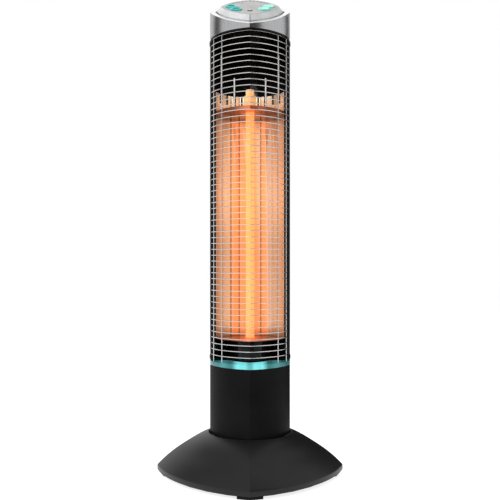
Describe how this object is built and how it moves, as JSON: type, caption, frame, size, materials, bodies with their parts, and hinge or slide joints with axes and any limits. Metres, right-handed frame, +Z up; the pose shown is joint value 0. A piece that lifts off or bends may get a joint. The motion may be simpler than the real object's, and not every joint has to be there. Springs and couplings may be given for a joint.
{
  "type": "tower heater",
  "caption": "Free-standing infrared tower heater: swinging column with a quartz tube behind a wire grille, sloping control panel, wide domed base.",
  "frame": {"origin": "on the column's axis, at floor level", "axes": "+Z up the column; the grille and the sloping panel face -Y; +X is to the right for someone who looks at the front"},
  "size_m": [0.343, 0.343, 0.8954],
  "materials": {
    "painted_steel": "satin black powder coat",
    "satin_black_plastic": "satin, fine spark texture",
    "foot_rubber": "matt",
    "zinc_steel": "zinc plated",
    "natural_plastic": "natural, semi-matt",
    "circuit_board": "solder resist",
    "copper_winding": "varnished winding and core",
    "plain_aluminium": "mill finish",
    "white_ceramic": "unglazed",
    "teal_light_plastic": "translucent, polished, lit from below",
    "gloss_black_enamel": "gloss black heat-proof enamel",
    "polished_reflector": "mirror polished",
    "quartz_glass": "clear quartz, glowing",
    "glowing_carbon": "carbon ribbon at orange heat",
    "chromed_wire": "bright chrome",
    "brushed_silver": "upright brushed",
    "light_grey_plastic": "pearl silver",
    "panel_grey_plastic": "satin",
    "smoked_window": "smoked, polished",
    "teal_button": "translucent teal",
    "mint_button": "translucent mint"
  },
  "bodies": {
    "base": {"base_plate": "painted_steel", "base_shell": "satin_black_plastic", "foot_right": "foot_rubber", "foot_rear": "foot_rubber", "foot_left": "foot_rubber", "foot_front": "foot_rubber", "base_screw_1": "zinc_steel", "base_screw_2": "zinc_steel", "base_screw_3": "zinc_steel", "base_screw_4": "zinc_steel", "cable_inlet": "foot_rubber", "tip_switch": "natural_plastic", "bearing_ring": "natural_plastic", "motor_bracket": "zinc_steel", "swivel_motor": "zinc_steel"},
    "column": {"swivel_gear": "natural_plastic", "retaining_ring": "zinc_steel", "column_foot": "satin_black_plastic", "foot_screw_1": "zinc_steel", "foot_screw_2": "zinc_steel", "lower_housing": "satin_black_plastic", "power_board": "circuit_board", "relay": "satin_black_plastic", "transformer": "copper_winding", "heat_sink": "plain_aluminium", "terminal_block": "white_ceramic", "led_board": "circuit_board", "light_ring": "teal_light_plastic", "pedestal": "gloss_black_enamel", "bottom_plate": "polished_reflector", "lower_ceramic_cap": "white_ceramic", "quartz_tube": "quartz_glass", "filament": "glowing_carbon", "upper_ceramic_cap": "white_ceramic", "top_plate": "polished_reflector", "reflector": "polished_reflector", "reflector_bracket": "zinc_steel", "thermal_cutout": "satin_black_plastic", "lower_lead": "natural_plastic", "upper_lead": "natural_plastic", "rear_housing": "gloss_black_enamel", "front_grille": "chromed_wire", "upper_clip_left": "satin_black_plastic", "upper_clip_right": "satin_black_plastic", "lower_clip_left": "satin_black_plastic", "lower_clip_right": "satin_black_plastic", "head_floor": "gloss_black_enamel", "head_screw_1": "zinc_steel", "head_screw_2": "zinc_steel", "head_shell": "brushed_silver", "head_bezel": "light_grey_plastic", "control_panel": "panel_grey_plastic", "control_board": "circuit_board", "receiver_window": "smoked_window"},
    "pinion": {"motor_pinion": "natural_plastic"},
    "plunger": {"tip_plunger": "natural_plastic"},
    "button_left_rear": {"button_left_rear": "teal_button"},
    "button_left_front": {"button_left_front": "teal_button"},
    "button_right_rear": {"button_right_rear": "mint_button"},
    "button_right_front": {"button_right_front": "mint_button"}
  },
  "joints": [
    {"name": "column_swing", "type": "hinge", "parent": "base", "child": "column", "pos_m": [0, 0, 0.069], "axis": [0, 0, 1], "range_deg": [-35, 35]},
    {"name": "pinion_turn", "type": "hinge", "parent": "base", "child": "pinion", "pos_m": [0, 0.03765, 0.05], "axis": [0, 0, 1], "range_deg": [-140, 140]},
    {"name": "tip_plunge", "type": "slide", "parent": "base", "child": "plunger", "axis": [0, 0, -1], "range_m": [0, 0.0045], "stiffness_N_per_m": 40, "springref_m": 0.0045},
    {"name": "press_left_rear", "type": "slide", "parent": "column", "child": "button_left_rear", "axis": [0, 0.497, -0.8678], "range_m": [0, 0.0012], "stiffness_N_per_m": 600},
    {"name": "press_left_front", "type": "slide", "parent": "column", "child": "button_left_front", "axis": [0, 0.497, -0.8678], "range_m": [0, 0.0012], "stiffness_N_per_m": 600},
    {"name": "press_right_rear", "type": "slide", "parent": "column", "child": "button_right_rear", "axis": [0, 0.497, -0.8678], "range_m": [0, 0.0012], "stiffness_N_per_m": 600},
    {"name": "press_right_front", "type": "slide", "parent": "column", "child": "button_right_front", "axis": [0, 0.497, -0.8678], "range_m": [0, 0.0012], "stiffness_N_per_m": 600}
  ],
  "couplings": [
    {"joint": "pinion_turn", "follows": "column_swing", "ratio": -4}
  ]
}
